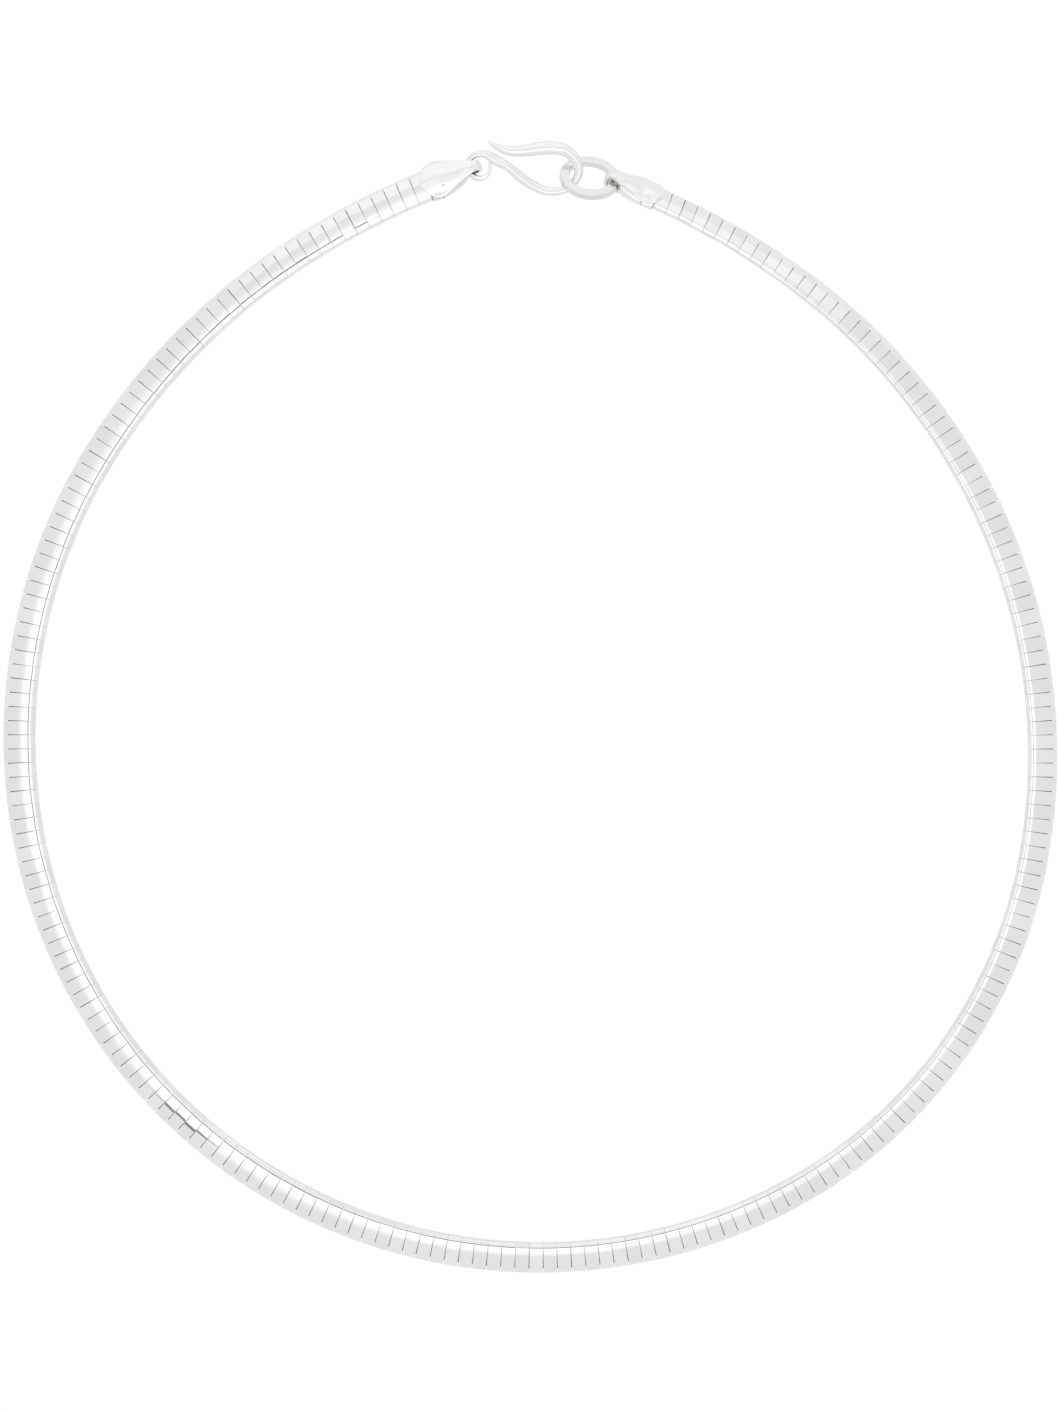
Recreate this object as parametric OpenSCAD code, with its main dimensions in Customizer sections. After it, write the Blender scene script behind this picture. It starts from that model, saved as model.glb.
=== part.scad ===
// Collar necklace: a domed omega chain with folded end caps, closed by a forged hook and a round ring.
// It lies flat with its outer edge down. Lengths are in millimetres and angles in degrees.
// +X is to the wearer's left, +Y runs from the front of the collar to the clasp, +Z is up.

/* [Band] */
// Width of the band across its face
band_width = 4.04; // [3.9:0.02:4.2]
// Height of the domed face above the band's edges
face_height = 0.9; // [0.8:0.05:1]
// Depth of the folded back below the band's edges
back_depth = 0.55; // [0.5:0.01:0.6]
// Thickness of the sheet that the plates are folded from
sheet = 0.28; // [0.24:0.01:0.3]
// Width of the slot between the folded lips on the back
slot_width = 1; // [0.6:0.1:1.4]
// Number of plates round the collar
plate_count = 219; // [205:1:228]
// Gap between neighbouring plates along the middle of the band
plate_gap = 0.16; // [0.16:0.01:0.2]
// Height that the band is lifted at the hook's end
hook_end_lift = 0.66; // [0.6:0.01:0.7]
// Height that the band is lifted at the ring's end
ring_end_lift = 0.86; // [0.82:0.01:0.9]
// Length of band over which each end rises
lift_length = 20; // [16:1:24]

/* [Core] */
// Width of the woven band inside the plates
core_width = 3; // [2.6:0.1:3.1]
// Thickness of the woven band at its middle
core_height = 0.58; // [0.4:0.02:0.6]

/* [End caps] */
// Half width of each cap's leaf at its widest
leaf_half_width = 2.26; // [2.2:0.02:2.3]
// Length of the plates that each leaf covers
cap_overlap = 0.7; // [0.6:0.05:0.8]
// Distance from the leaf's tip to the loop's axis on the hook's cap
hook_loop_distance = 6.38; // [6.34:0.01:6.42]
// Distance from the leaf's tip to the loop's axis on the ring's cap
ring_loop_distance = 6; // [5.95:0.01:6.05]
// Depth of the loop's axis below the band's edges
loop_drop = 0.36; // [0.3:0.01:0.4]
// Outer radius of the curled loop
loop_radius = 1.4; // [1.35:0.01:1.42]
// Radius of the hole through the loop
loop_hole_radius = 0.86; // [0.84:0.01:0.9]
// Width of the loop
loop_width = 1.1; // [1:0.05:1.15]

/* [Clasp] */
// Radius of the ring, to the middle of its wire
ring_radius = 3.1; // [3.05:0.01:3.15]
// Width of the ring's flat face
ring_face = 1.16; // [1.1:0.02:1.18]
// Thickness of the ring
ring_thickness = 0.88; // [0.8:0.02:0.9]
// Slope of the ring against the surface that it leans on
ring_tilt = 45; // [44:0.5:46]
// Radius of the hook's eye, to the middle of its wire
eye_radius = 1.55; // [1.53:0.01:1.57]
// Thickness of the eye's wire
eye_wire = 0.8; // [0.76:0.01:0.82]
// Thickness of the hook where it is forged flatter
forged_thickness = 0.92; // [0.84:0.02:0.94]
// Rise of the hook from its eye towards the ring
hook_slope = 5.2; // [5:0.1:5.4]

/* [Hidden] */

// The band's middle line, from inside the hook's cap round to the ring's cap, as arcs that run on smoothly.
// Each row holds the arc's sweep, its radius, and the roll of the band's face at its far end.
SWEEP = 0;
RADIUS = 1;
ROLL = 2;
arcs = [
    [12.1, 91, 11],
    [25, 77.5, 13],
    [40, 65.5, 13],
    [50, 62.5, 18],
    [60, 64, 26],
    [50, 58, 28],
    [40, 70, 29],
    [24, 73.5, 43],
    [14.1, 87, 52]
];
start_point = [-12.6, 63.36];
start_heading = 201.7;
start_roll = 10;

function along(k) = arcs[k][SWEEP] * PI / 180 * arcs[k][RADIUS];
function turned(p, h0, h1, r) = [p[0] + r * (sin(h1) - sin(h0)), p[1] - r * (cos(h1) - cos(h0))];

// Length, heading and point at the start of each arc, and at the end of the last one
arc_lengths = [for (k = 0, s = 0; k <= len(arcs); s = s + (k < len(arcs) ? along(k) : 0), k = k + 1) s];
arc_headings = [
    for (k = 0, h = start_heading; k <= len(arcs); h = h + (k < len(arcs) ? arcs[k][SWEEP] : 0), k = k + 1) h
];
arc_points = [
    for (
        k = 0, p = start_point;
        k <= len(arcs);
        p = k < len(arcs) ? turned(p, arc_headings[k], arc_headings[k + 1], arcs[k][RADIUS]) : p,
        k = k + 1
    ) p
];
path_length = arc_lengths[len(arcs)];
pitch = path_length / plate_count;
plate_length = pitch - plate_gap;

// The plate's outline is a flattened half ellipse in front and a flatter curve behind, drawn from edge to edge
half_width = band_width / 2;
function front(y, a, b) = b * pow(max(0, 1 - pow(abs(y) / a, 2.35)), 1 / 2.35);
function back(y, a, c) = -c * pow(max(0, 1 - pow(abs(y) / a, 3)), 1 / 3);
function face_points(a, b, n) = [for (k = [0 : n]) let (y = a * cos(180 * k / n)) [y, front(y, a, b)]];
function lip_points(a, c, edge, n) = [
    for (k = [1 : n]) let (y = a - (a - edge) * (1 - cos(90 * k / n))) [y, back(y, a, c)]
];
function mirrored(points) = [for (k = [len(points) - 1 : -1 : 0]) [-points[k][0], points[k][1]]];
outer_lip = lip_points(half_width, back_depth, slot_width / 2, 2);
inner_lip = lip_points(half_width - sheet, back_depth - sheet, slot_width / 2, 2);
outer_face = face_points(half_width, face_height, 10);
inner_face = face_points(half_width - sheet, face_height - sheet, 6);
function reversed(points) = [for (k = [len(points) - 1 : -1 : 0]) points[k]];
plate_outline = concat(
    reversed(outer_lip),
    outer_face,
    mirrored(reversed(outer_lip)),
    mirrored(inner_lip),
    reversed(inner_face),
    inner_lip
);

// Height of the band's middle above the surface for a given roll, where its lowest point just touches
function rest_height(roll) = -min([for (p = plate_outline) p[0] * sin(roll) + p[1] * cos(roll)]);

// Arc that a length along the path falls in, and what holds there
function arc_at(s, k = 0) = k == len(arcs) - 1 || s < arc_lengths[k + 1] ? k : arc_at(s, k + 1);
function heading_at(s) = let (k = arc_at(s)) arc_headings[k] + (s - arc_lengths[k]) / arcs[k][RADIUS] * 180 / PI;
function roll_at(s) =
    let (k = arc_at(s), from = k == 0 ? start_roll : arcs[k - 1][ROLL], u = (s - arc_lengths[k]) / along(k))
    from + (arcs[k][ROLL] - from) * min(1, max(0, u));
function lift_at(s) =
    hook_end_lift * pow(max(0, 1 - s / lift_length), 2) +
    ring_end_lift * pow(max(0, 1 - (path_length - s) / lift_length), 2);
function height_at(s) = rest_height(roll_at(s)) + lift_at(s);
function slope_at(s) = atan(height_at(s + 0.5) - height_at(s - 0.5));
function point_at(s) =
    let (k = arc_at(s), p = turned(arc_points[k], arc_headings[k], heading_at(s), arcs[k][RADIUS]))
    [p[0], p[1], height_at(s)];

// Carries a child from its own frame to the band: X along the band, Y to its inner edge, Z out of its face
module on_band(s) {
    translate(point_at(s)) rotate([roll_at(s), -slope_at(s), heading_at(s)]) children();
}

module omega_plates() {
    color([0.86, 0.86, 0.85])
    for (k = [0 : plate_count - 1])
        on_band((k + 0.5) * pitch)
        rotate([90, 0, 90])
        linear_extrude(plate_length, center = true)
        polygon(plate_outline);
}

// The core runs on inside both caps
core_half = core_width / 2;
core_reach = 2.2;
core_rings = 112;
core_back = -0.1;
core_outline = [
    [-core_half + 0.1, core_back],
    [core_half - 0.1, core_back],
    [core_half, 0.08],
    [core_half * 0.66, core_back + core_height * 0.8],
    [0, core_back + core_height],
    [-core_half * 0.66, core_back + core_height * 0.8],
    [-core_half, 0.08]
];
function on_frame(p, s) =
    let (h = heading_at(s), r = roll_at(s), y = p[0] * cos(r) - p[1] * sin(r), z = p[0] * sin(r) + p[1] * cos(r))
    point_at(s) + [-y * sin(h), y * cos(h), z];
function core_place(k) = -core_reach + (path_length + 2 * core_reach) * k / core_rings;
core_sides = len(core_outline);
core_points = [for (k = [0 : core_rings]) for (p = core_outline) on_frame(p, core_place(k))];
core_faces = concat(
    [[for (j = [0 : core_sides - 1]) j]],
    [
        for (k = [0 : core_rings - 1]) for (j = [0 : core_sides - 1])
            let (a = k * core_sides + j, b = k * core_sides + (j + 1) % core_sides)
            for (half = [0, 1])
                half == 0 ? [a, a + core_sides, b] : [b, a + core_sides, b + core_sides]
    ],
    [[for (j = [core_sides - 1 : -1 : 0]) core_rings * core_sides + j]]
);

module mesh_core() {
    color([0.72, 0.72, 0.71]) polyhedron(core_points, core_faces);
}

// Cap, with X from the leaf's tip to the loop and Z out of its face. Each row is a place and a half width.
leaf_rows = [
    [0, 0.25],
    [0.1, 0.75],
    [0.35, 1.25],
    [0.8, 1.84],
    [1.4, 2.14],
    [2, 2.26],
    [2.6, 2.16],
    [3.4, 1.8],
    [4.2, 1.44],
    [5, 1.16],
    [5.6, 0.98],
    [6.3, 0.78]
];
wall_rows = [
    [0.8, 2.14],
    [2.3, 2.24],
    [3.6, 1.74],
    [4.7, 1.3],
    [5, 1.2]
];
hollow_rows = [
    [-1, 1.86],
    [2.5, 1.86],
    [3.6, 1.44],
    [4.1, 1.14]
];
cap_front = 1.36;
cap_sheet = 0.36;
cap_back = -1;
neck_front = loop_radius - loop_drop;
function half_rows(rows, scale_to) = [for (row = rows) [row[0], row[1] * scale_to]];
function both_sides(rows) = concat(rows, [for (k = [len(rows) - 1 : -1 : 0]) [rows[k][0], -rows[k][1]]]);
leaf_scale = leaf_half_width / 2.26;

// Both outlines slope in to the flat of the cap's back
back_half = 1.29;
hollow_half = 1.16;
dome = concat([[back_half, cap_back]], face_points(2.4, cap_front, 12), [[-back_half, cap_back]]);
hollow_dome = concat(
    [[hollow_half, cap_back + cap_sheet], [1.9, 0]],
    face_points(2.14, cap_front - cap_sheet, 10),
    [[-1.9, 0], [-hollow_half, cap_back + cap_sheet]]
);

// The cap seen from the side: the leaf is level over the band and falls to the neck
function side_profile(distance) = [
    [-1, cap_back],
    [4.4, cap_back],
    [4.9, -0.6],
    [distance + loop_radius, -0.6],
    [distance + loop_radius, neck_front],
    [5.2, neck_front],
    [2.6, cap_front],
    [-1, cap_front]
];

module plan(rows) {
    translate([0, 0, -2]) linear_extrude(4) polygon(both_sides(rows));
}

module end_cap(distance) {
    difference() {
        union() {
            intersection() {
                plan(half_rows(leaf_rows, leaf_scale));
                translate([0, 0, -0.02]) cube([16, 6, 4], center = true);
                translate([-0.5, 0, 0]) rotate([90, 0, 90]) linear_extrude(8) polygon(dome);
                rotate([90, 0, 0]) linear_extrude(6, center = true) polygon(side_profile(distance));
                translate([-1, -3, 0]) cube([9, 6, 3]);
            }
            intersection() {
                plan(half_rows(wall_rows, leaf_scale));
                translate([-0.5, 0, 0]) rotate([90, 0, 90]) linear_extrude(8) polygon(dome);
                rotate([90, 0, 0]) linear_extrude(6, center = true) polygon(side_profile(distance));
            }
            translate([distance, 0, -loop_drop])
            rotate([90, 0, 0])
            cylinder(r = loop_radius, h = loop_width, center = true, $fn = 48);
        }
        intersection() {
            plan(hollow_rows);
            translate([-1.5, 0, 0]) rotate([90, 0, 90]) linear_extrude(8) polygon(hollow_dome);
        }
        translate([distance, 0, -loop_drop])
        rotate([90, 0, 0])
        cylinder(r = loop_hole_radius, h = 4, center = true, $fn = 48);
    }
}

hook_cap_slope = 5.2;
hook_cap_turn = -1.5;
hook_cap_shift = 0.1;
ring_cap_slope = 6.2;
ring_cap_turn = -1;

module hook_end_cap() {
    s = cap_overlap;
    color([0.84, 0.84, 0.83])
    translate(point_at(s))
    rotate([-roll_at(s), -hook_cap_slope, heading_at(s) + 180 + hook_cap_turn])
    translate([0, hook_cap_shift, 0])
    end_cap(hook_loop_distance);
}

module ring_end_cap() {
    s = path_length - cap_overlap;
    color([0.84, 0.84, 0.83])
    translate(point_at(s))
    rotate([roll_at(s), -ring_cap_slope, heading_at(s) + ring_cap_turn])
    end_cap(ring_loop_distance);
}

// The hook is one wire in a sloping plane through its eye's centre. Its thin end stops just short of the shank.
eye_centre = [-6.06, 65.72, 1.56];

// Round the eye each row holds an angle, and the radius and the wire's width as shares of the eye's own
eye_turns = [
    [-27, 0.83, 0.4],
    [-40, 0.835, 0.52],
    [-56, 0.874, 0.6],
    [-75, 0.916, 0.7],
    [-95, 0.961, 0.825],
    [-118, 1, 0.9],
    [-142, 1.01, 0.96],
    [-168, 1.02, 0.975],
    [-193, 1.026, 0.95],
    [-217, 1.023, 0.925],
    [-240, 1.006, 0.975],
    [-260, 0.987, 1.05],
    [-280, 0.987, 1.125]
];
eye_rows = [
    for (row = eye_turns)
        [eye_radius * row[1] * cos(row[0]), eye_radius * row[1] * sin(row[0]), eye_wire * row[2]]
];

// From there each row holds a point of the wire's middle, counted from the eye's centre, and its width there
shank_rows = [
    [0.79, 1.36, 1],
    [1.31, 1.04, 1.16],
    [1.86, 0.68, 1.26],
    [2.34, 0.42, 1.24],
    [2.87, 0.17, 1.14],
    [3.3, -0.13, 1.12],
    [3.75, -0.48, 1.18],
    [4.73, -1.27, 1.27],
    [5.7, -2, 1.24],
    [6.68, -2.58, 1.16],
    [7.65, -3, 1.05],
    [8.62, -3.15, 1],
    [9.6, -3.08, 0.98],
    [10.6, -2.72, 0.96],
    [11.3, -2.12, 0.95],
    [11.75, -1.4, 0.97],
    [11.93, -0.6, 1.08],
    [11.8, 0.1, 1.22],
    [11.38, 0.9, 1.34],
    [10.78, 1.53, 1.42],
    [9.9, 1.98, 1.52],
    [8.62, 2.17, 1.6],
    [7.65, 2.15, 1.6],
    [6.68, 2.05, 1.54],
    [5.7, 1.9, 1.46],
    [4.73, 1.82, 1.36],
    [3.8, 1.8, 1.24],
    [2.9, 1.94, 1.04],
    [2.18, 2.24, 0.84],
    [1.6, 2.52, 0.66],
    [1.15, 2.86, 0.42],
    [0.92, 3.16, 0.2]
];
wire_rows = concat(eye_rows, shank_rows);
wire_last = len(wire_rows) - 1;
wire_sides = 12;
wire_steps = 2;

// A curve through four rows, at a fraction t of the way from the second to the third
function between(a, b, c, d, t) =
    0.5 * (2 * b + (c - a) * t + (2 * a - 5 * b + 4 * c - d) * t * t + (3 * b - a - 3 * c + d) * t * t * t);
wire_line = concat(
    [
        for (k = [0 : wire_last - 1]) for (j = [0 : wire_steps - 1])
            between(
                wire_rows[max(k - 1, 0)],
                wire_rows[k],
                wire_rows[k + 1],
                wire_rows[min(k + 2, wire_last)],
                j / wire_steps
            )
    ],
    [wire_rows[wire_last]]
);
wire_end = len(wire_line) - 1;
function side_step(k) =
    let (d = wire_line[min(k + 1, wire_end)] - wire_line[max(k - 1, 0)], run = norm([d[0], d[1]]))
    [-d[1] / run, d[0] / run];
wire_points = [
    for (k = [0 : wire_end]) for (j = [0 : wire_sides - 1])
        let (n = side_step(k), r = wire_line[k][2] / 2, a = 360 * (j + 0.5) / wire_sides)
        [
            wire_line[k][0] + r * cos(a) * n[0],
            wire_line[k][1] + r * cos(a) * n[1],
            min(r, forged_thickness / 2) * sin(a)
        ]
];
wire_faces = concat(
    [[for (j = [0 : wire_sides - 1]) j]],
    [
        for (k = [0 : wire_end - 1]) for (j = [0 : wire_sides - 1])
            let (a = k * wire_sides + j, b = k * wire_sides + (j + 1) % wire_sides)
            for (half = [0, 1])
                half == 0 ? [a, a + wire_sides, b] : [b, a + wire_sides, b + wire_sides]
    ],
    [[for (j = [wire_sides - 1 : -1 : 0]) wire_end * wire_sides + j]]
);

module s_hook() {
    color([0.8, 0.8, 0.79])
    translate(eye_centre)
    rotate([0, -hook_slope, 0])
    polyhedron(wire_points, wire_faces);
}

// The ring's section is a rectangle with well rounded corners, drawn as a curve of the fifth power
SQUARENESS = 5;
function rounded(v) = sign(v) * pow(abs(v), 2 / SQUARENESS);
ring_section = [
    for (k = [0 : 35]) [ring_face / 2 * rounded(cos(10 * k)), ring_thickness / 2 * rounded(sin(10 * k))]
];

// The ring leans with the side nearest the front of the collar raised, and its lowest point on the surface
ring_reach = max([for (p = ring_section) p[0] * sin(ring_tilt) + p[1] * cos(ring_tilt)]);
ring_centre = [7.12, 64.17, ring_radius * sin(ring_tilt) + ring_reach];
ring_turn = -8.9;

module clasp_ring() {
    color([0.84, 0.84, 0.83])
    translate(ring_centre)
    rotate([0, 0, ring_turn])
    rotate([-ring_tilt, 0, 0])
    rotate_extrude($fn = 64)
    translate([ring_radius, 0])
    polygon(ring_section);
}

omega_plates();
mesh_core();
hook_end_cap();
ring_end_cap();
s_hook();
clasp_ring();
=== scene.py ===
"""Collar necklace: a domed omega chain with folded end caps, a forged hook and a round ring.

It lies flat in soft studio light. Sizes are in metres in the panel, and worked out in millimetres here.
"""
import math
import random

import bmesh
import bpy
from mathutils import Matrix, Vector


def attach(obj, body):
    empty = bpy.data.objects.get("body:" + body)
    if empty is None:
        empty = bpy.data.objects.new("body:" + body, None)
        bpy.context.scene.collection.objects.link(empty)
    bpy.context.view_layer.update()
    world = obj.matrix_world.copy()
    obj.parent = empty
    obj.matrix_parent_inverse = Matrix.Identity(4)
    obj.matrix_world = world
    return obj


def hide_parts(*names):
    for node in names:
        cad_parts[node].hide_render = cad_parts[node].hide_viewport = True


bl_info = {
    "name": "Omega collar necklace",
    "version": (1, 0, 0),
    "blender": (4, 5, 0),
    "location": "3D View > Sidebar > Necklace",
    "description": "Makes an omega chain collar, its caps, its hook and ring, and a pale studio",
    "category": "Add Mesh",
}

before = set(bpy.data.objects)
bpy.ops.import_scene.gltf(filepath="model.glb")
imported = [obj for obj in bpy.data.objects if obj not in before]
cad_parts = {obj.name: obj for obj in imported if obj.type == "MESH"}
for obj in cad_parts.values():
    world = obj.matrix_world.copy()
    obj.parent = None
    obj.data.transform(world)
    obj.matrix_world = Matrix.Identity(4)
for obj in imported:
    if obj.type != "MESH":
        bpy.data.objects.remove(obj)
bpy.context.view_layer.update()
MM = 0.001
# The middle of a worn edge is drawn in by this share of the edge's radius
MIDDLE_OF_EDGE = 0.3


def table(columns, *rows):
    """Rows of values as dicts, with one name for each column."""
    return [dict(zip(columns.split(), row, strict=True)) for row in rows]


# The band's middle line, from the hook's cap round to the ring's: sweep and roll in degrees, radius in mm
ARCS = table(
    "sweep radius roll",
    (12.1, 91.0, 11.0),
    (25.0, 77.5, 13.0),
    (40.0, 65.5, 13.0),
    (50.0, 62.5, 18.0),
    (60.0, 64.0, 26.0),
    (50.0, 58.0, 28.0),
    (40.0, 70.0, 29.0),
    (24.0, 73.5, 43.0),
    (14.1, 87.0, 52.0),
)
# Where it starts in mm, and its heading and roll there in degrees
PATH_START = (-12.6, 63.36)
HEADING_START = 201.7
ROLL_START = 10.0

# The hook's wire round its eye: the angle in degrees, and shares of the eye's radius and of its wire
EYE = table(
    "angle radius width",
    (22, 0.74, 0.6),
    (-2, 0.71, 0.5),
    (-25, 0.765, 0.5),
    (-40, 0.81, 0.55),
    (-56, 0.866, 0.62),
    (-75, 0.916, 0.7),
    (-95, 0.961, 0.825),
    (-118, 1.0, 0.9),
    (-142, 1.01, 0.96),
    (-168, 1.02, 0.975),
    (-193, 1.026, 0.95),
    (-217, 1.023, 0.925),
    (-240, 1.006, 0.975),
    (-260, 0.987, 1.05),
    (-280, 0.987, 1.125),
)
EYE_RIDGE = -0.3

# The same wire on from the eye to the hook's tip: points in mm from the eye's centre, widths in mm, and
# where the forged ridge runs, as a share of the half width to the left
SHANK = table(
    "x y width ridge",
    (0.79, 1.36, 1.0, -0.26),
    (1.31, 1.04, 1.16, -0.22),
    (1.86, 0.68, 1.26, -0.2),
    (2.34, 0.42, 1.24, -0.18),
    (2.87, 0.17, 1.14, -0.14),
    (3.3, -0.13, 1.12, -0.1),
    (3.75, -0.48, 1.18, -0.1),
    (4.73, -1.27, 1.27, -0.14),
    (5.7, -2.0, 1.24, -0.22),
    (6.68, -2.58, 1.16, -0.28),
    (7.65, -3.0, 1.05, -0.3),
    (8.62, -3.15, 1.0, -0.3),
    (9.6, -3.08, 0.98, -0.28),
    (10.6, -2.72, 0.96, -0.24),
    (11.3, -2.12, 0.95, -0.2),
    (11.75, -1.4, 0.97, -0.15),
    (11.93, -0.6, 1.08, -0.1),
    (11.8, 0.1, 1.22, -0.06),
    (11.38, 0.9, 1.34, 0.0),
    (10.78, 1.53, 1.42, 0.08),
    (9.9, 1.98, 1.52, 0.16),
    (8.62, 2.17, 1.6, 0.2),
    (7.65, 2.15, 1.6, 0.22),
    (6.68, 2.05, 1.54, 0.22),
    (5.7, 1.9, 1.46, 0.22),
    (4.73, 1.82, 1.36, 0.2),
    (3.8, 1.8, 1.24, 0.16),
    (2.9, 1.94, 1.04, 0.1),
    (2.18, 2.24, 0.84, 0.05),
    (1.6, 2.52, 0.66, 0.0),
    (1.15, 2.86, 0.42, 0.0),
    (0.92, 3.16, 0.2, 0.0),
)

# The cap's leaf and tongue laid flat, in mm from the leaf's round tip: half width, and how far the face
# falls from its middle to its rim
LEAF = table(
    "x half fall",
    (0.0, 0.0, 0.12),
    (0.04, 0.3, 0.12),
    (0.14, 0.58, 0.14),
    (0.38, 1.1, 0.22),
    (0.8, 1.74, 0.5),
    (1.4, 2.14, 0.8),
    (2.0, 2.27, 0.86),
    (2.6, 2.22, 0.82),
    (3.4, 1.95, 0.62),
    (4.2, 1.62, 0.46),
    (5.0, 1.32, 0.36),
    (5.6, 1.1, 0.28),
    (6.2, 0.88, 0.18),
    (6.9, 0.72, 0.08),
    (7.8, 0.63, 0.05),
    (9.2, 0.6, 0.05),
    (11.0, 0.57, 0.05),
    (12.4, 0.55, 0.05),
)

# The side walls of the clamped mouth and of the neck behind it: half width at a distance from the leaf's
# tip, in mm
WALLS = table(
    "x half",
    (0.8, 2.2),
    (1.6, 2.36),
    (2.3, 2.37),
    (3.6, 1.98),
    (4.7, 1.58),
    (5.2, 1.38),
    (5.8, 1.0),
)

# The two caps: each one's piece and node, its turn, slope and roll on the band's end in degrees, how far it
# is set aside and where its neck ends in mm, and how strongly painted shade darkens its folded back
CAPS = table(
    "piece node at_hook turn slope roll aside neck_end film",
    ("hook_cap_folded", "hook_end_cap", True, 178.5, 5.2, 0.0, 0.1, 5.7, 0.3),
    ("ring_cap_folded", "ring_end_cap", False, -1.0, 6.2, -3.5, 0.0, 5.3, 0.05),
)

# Soft folds along the hook's leaf: how far from its middle each starts, how it slants, how soft it is, and
# how far the face falls beyond it for each mm, to the collar's outer side and to its inner side
FOLDS = table(
    "y slant soft outer inner",
    (0.28, -0.05, 0.06, 0.08, 0.055),
    (-0.02, -0.05, 0.05, 0.0, 0.031),
    (-1.0, 0.0, 0.12, 0.0, 0.17),
)

# Pools of light painted into the lit table's glow, one behind each end of the collar: middle, where it is
# full and where it ends, in metres, and how much more light it gives
POOLS = table(
    "x y full none more",
    (-0.03, 0.068, 0.014, 0.034, 1.13),
    (0.075, 0.12, 0.05, 0.11, 1.06),
)


def linear(hexadecimal):
    """An sRGB hex colour as linear RGBA."""
    parts = [int(hexadecimal[k : k + 2], 16) / 255 for k in (0, 2, 4)]
    return tuple(c / 12.92 if c <= 0.04045 else ((c + 0.055) / 1.055) ** 2.4 for c in parts) + (1.0,)


class BandSettings(bpy.types.PropertyGroup):
    """Sizes of the chain's plates."""

    width: bpy.props.FloatProperty(
        name="Band width", description="Width of the band across its face", default=0.00404, unit="LENGTH"
    )
    face_height: bpy.props.FloatProperty(
        name="Face height", description="Height of the dome above the edges", default=0.0009, unit="LENGTH"
    )
    back_depth: bpy.props.FloatProperty(
        name="Back depth", description="Depth of the back below the edges", default=0.00055, unit="LENGTH"
    )
    sheet: bpy.props.FloatProperty(
        name="Sheet", description="Thickness of the plates' sheet", default=0.00028, unit="LENGTH"
    )
    slot: bpy.props.FloatProperty(
        name="Slot", description="Width of the slot between the lips", default=0.001, unit="LENGTH"
    )
    plates: bpy.props.IntProperty(
        name="Plates", description="Number of plates round the collar", default=219, min=200, max=235
    )
    plate_length: bpy.props.FloatProperty(
        name="Plate length", description="Length of a plate along the band", default=0.00165, unit="LENGTH"
    )
    edge: bpy.props.FloatProperty(
        name="Edge rounding", description="Radius worn on the cut edges", default=0.00004, unit="LENGTH"
    )
    unevenness: bpy.props.FloatProperty(
        name="Unevenness", description="How far the plates stand out of line", default=math.radians(0.7),
        unit="ROTATION",
    )


class CapSettings(bpy.types.PropertyGroup):
    """Sizes of the two end caps."""

    overlap: bpy.props.FloatProperty(
        name="Overlap", description="Length of the plates that the leaf covers", default=0.0007, unit="LENGTH"
    )
    front: bpy.props.FloatProperty(
        name="Front", description="Height of the leaf above the band's edges", default=0.00136, unit="LENGTH"
    )
    back: bpy.props.FloatProperty(
        name="Back", description="Depth of the cap below the band's edges", default=0.001, unit="LENGTH"
    )
    hook_loop: bpy.props.FloatProperty(
        name="Hook cap's loop", description="From its leaf's tip to its axis", default=0.00638, unit="LENGTH"
    )
    ring_loop: bpy.props.FloatProperty(
        name="Ring cap's loop", description="From its leaf's tip to its axis", default=0.006, unit="LENGTH"
    )
    loop_drop: bpy.props.FloatProperty(
        name="Loop drop", description="Depth of its axis below the edges", default=0.00036, unit="LENGTH"
    )
    loop_radius: bpy.props.FloatProperty(
        name="Loop radius", description="Outer radius of the curled tongue", default=0.0014, unit="LENGTH"
    )
    sheet: bpy.props.FloatProperty(
        name="Sheet", description="Thickness of the leaf", default=0.00036, unit="LENGTH"
    )
    tongue: bpy.props.FloatProperty(
        name="Tongue", description="Thickness of the tongue round the loop", default=0.00054, unit="LENGTH"
    )
    rim: bpy.props.FloatProperty(
        name="Rim", description="Radius worn on the leaf's rim", default=0.00013, unit="LENGTH"
    )


class ClaspSettings(bpy.types.PropertyGroup):
    """Sizes of the hook and the ring."""

    ring_radius: bpy.props.FloatProperty(
        name="Ring radius", description="To the middle of the ring's wire", default=0.0031, unit="LENGTH"
    )
    ring_face: bpy.props.FloatProperty(
        name="Ring face", description="Width of the ring's flat face", default=0.00116, unit="LENGTH"
    )
    ring_thickness: bpy.props.FloatProperty(
        name="Ring thickness", description="Thickness of the ring", default=0.00088, unit="LENGTH"
    )
    ring_tilt: bpy.props.FloatProperty(
        name="Ring tilt", description="Slope of the leaning ring", default=math.radians(45), unit="ROTATION"
    )
    eye_radius: bpy.props.FloatProperty(
        name="Eye radius", description="To the middle of the eye's wire", default=0.00155, unit="LENGTH"
    )
    eye_wire: bpy.props.FloatProperty(
        name="Eye wire", description="Thickness of the hook's wire at its eye", default=0.0008, unit="LENGTH"
    )
    forged: bpy.props.FloatProperty(
        name="Forged thickness", description="Thickness of the hook's shank", default=0.00092, unit="LENGTH"
    )
    hook_slope: bpy.props.FloatProperty(
        name="Hook slope", description="Rise of the hook towards the ring", default=math.radians(5.2),
        unit="ROTATION",
    )


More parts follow.
